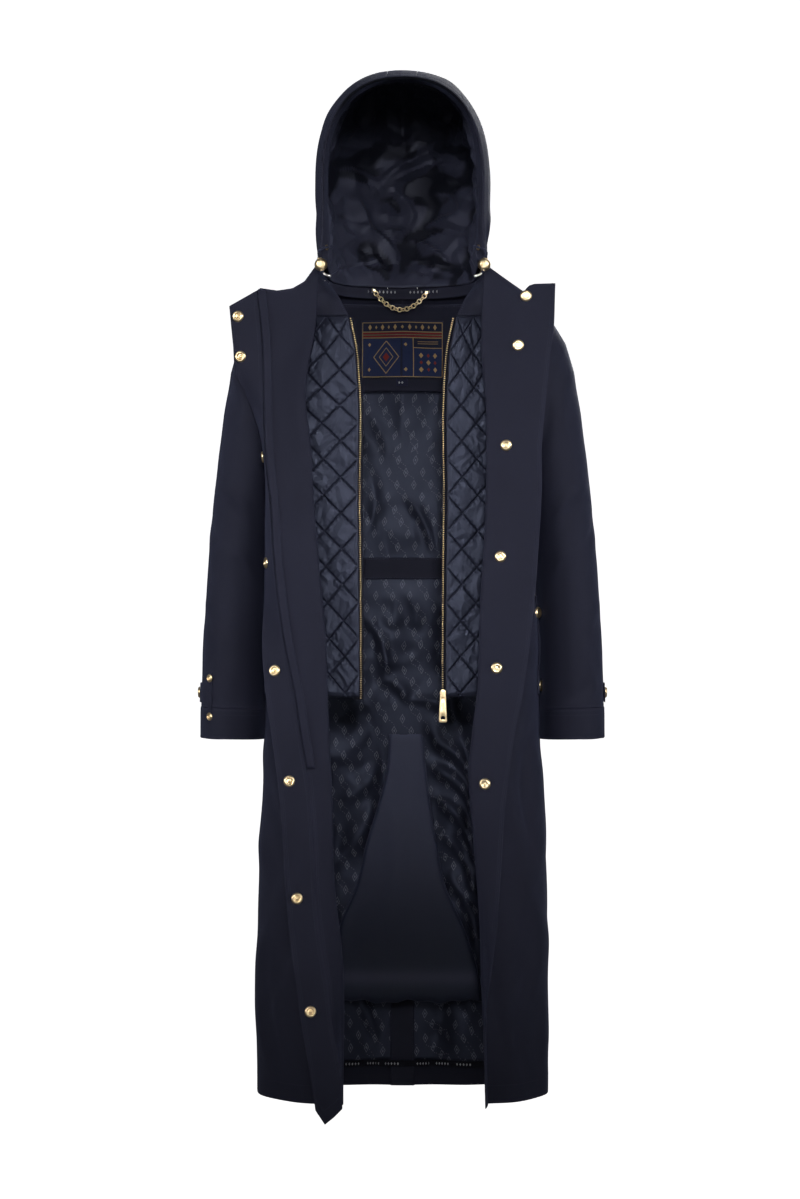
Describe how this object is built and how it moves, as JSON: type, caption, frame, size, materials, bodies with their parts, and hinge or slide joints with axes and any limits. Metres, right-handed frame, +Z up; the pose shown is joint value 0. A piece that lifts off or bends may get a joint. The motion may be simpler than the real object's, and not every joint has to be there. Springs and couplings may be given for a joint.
{
  "type": "hooded raincoat",
  "caption": "Long hooded raincoat worn open, both fronts turned back, with quilted inner bibs, zips, gold snaps, toggles, lining and a back vent gusset.",
  "frame": {"origin": "middle of the neck base, where the wearer's neck or a hanger carries the coat", "axes": "+X towards the wearer's left, +Y towards the back, +Z up along the coat's length"},
  "size_m": [0.614, 0.3182, 1.546],
  "materials": {
    "shell_navy": "matte tight weave",
    "facing_navy": "matte tight weave",
    "hood_satin": "satin",
    "printed_lining": "satin with a paler small motif",
    "quilted_nylon": "smooth quilted nylon",
    "tape_navy": "woven tape",
    "woven_label": "woven label",
    "light_gold": "polished light gold plate",
    "drawcord_navy": "braided cord"
  },
  "bodies": {
    "coat": {"back_gusset": "shell_navy", "back_left": "shell_navy", "back_right": "shell_navy", "bib_left": "quilted_nylon", "bib_right": "quilted_nylon", "bib_yoke_left": "facing_navy", "bib_yoke_right": "facing_navy", "cuff_button_left": "light_gold", "cuff_button_right": "light_gold", "cuff_left": "shell_navy", "cuff_right": "shell_navy", "cuff_snap_1": "light_gold", "cuff_snap_2": "light_gold", "cuff_tab_left": "shell_navy", "cuff_tab_right": "shell_navy", "drawcord_left": "drawcord_navy", "drawcord_right": "drawcord_navy", "front_left": "shell_navy", "front_right": "shell_navy", "front_zip_tape": "tape_navy", "hem_tape": "tape_navy", "hood_centre": "shell_navy", "hood_facing": "facing_navy", "hood_lining": "hood_satin", "hood_side_left": "shell_navy", "hood_side_right": "shell_navy", "label": "woven_label", "lining_back": "printed_lining", "neck_facing": "facing_navy", "neck_tape": "tape_navy", "pocket_snap_1": "light_gold", "pocket_snap_2": "light_gold", "pocket_welt_left": "shell_navy", "pocket_welt_right": "shell_navy", "sleeve_left": "shell_navy", "sleeve_right": "shell_navy", "snap_socket_1": "light_gold", "snap_socket_2": "light_gold", "snap_socket_3": "light_gold", "snap_socket_4": "light_gold", "snap_socket_5": "light_gold", "snap_socket_6": "light_gold", "snap_socket_7": "light_gold", "snap_socket_8": "light_gold", "snap_stud_1": "light_gold", "snap_stud_2": "light_gold", "snap_stud_3": "light_gold", "snap_stud_4": "light_gold", "snap_stud_5": "light_gold", "snap_stud_6": "light_gold", "storm_flap": "shell_navy", "toggle_left": "light_gold", "toggle_right": "light_gold", "vent_facing": "facing_navy", "waist_band": "facing_navy", "zip_slider": "light_gold", "zip_tape_left": "tape_navy", "zip_tape_right": "tape_navy"},
    "pull_tab": {"zip_pull": "light_gold"},
    "chain": {"hanger_chain": "light_gold"}
  },
  "joints": [
    {"name": "zip_pull_swing", "type": "hinge", "parent": "coat", "child": "pull_tab", "pos_m": [0.05941, -0.10152, -0.589], "axis": [-1, 0, 0], "range_deg": [0, 165]},
    {"name": "hanger_chain_swing", "type": "hinge", "parent": "coat", "child": "chain", "pos_m": [-0.00335, 0.0668, 0.0193], "axis": [-0.9988, 0, 0.0499], "range_deg": [0, 90]}
  ]
}
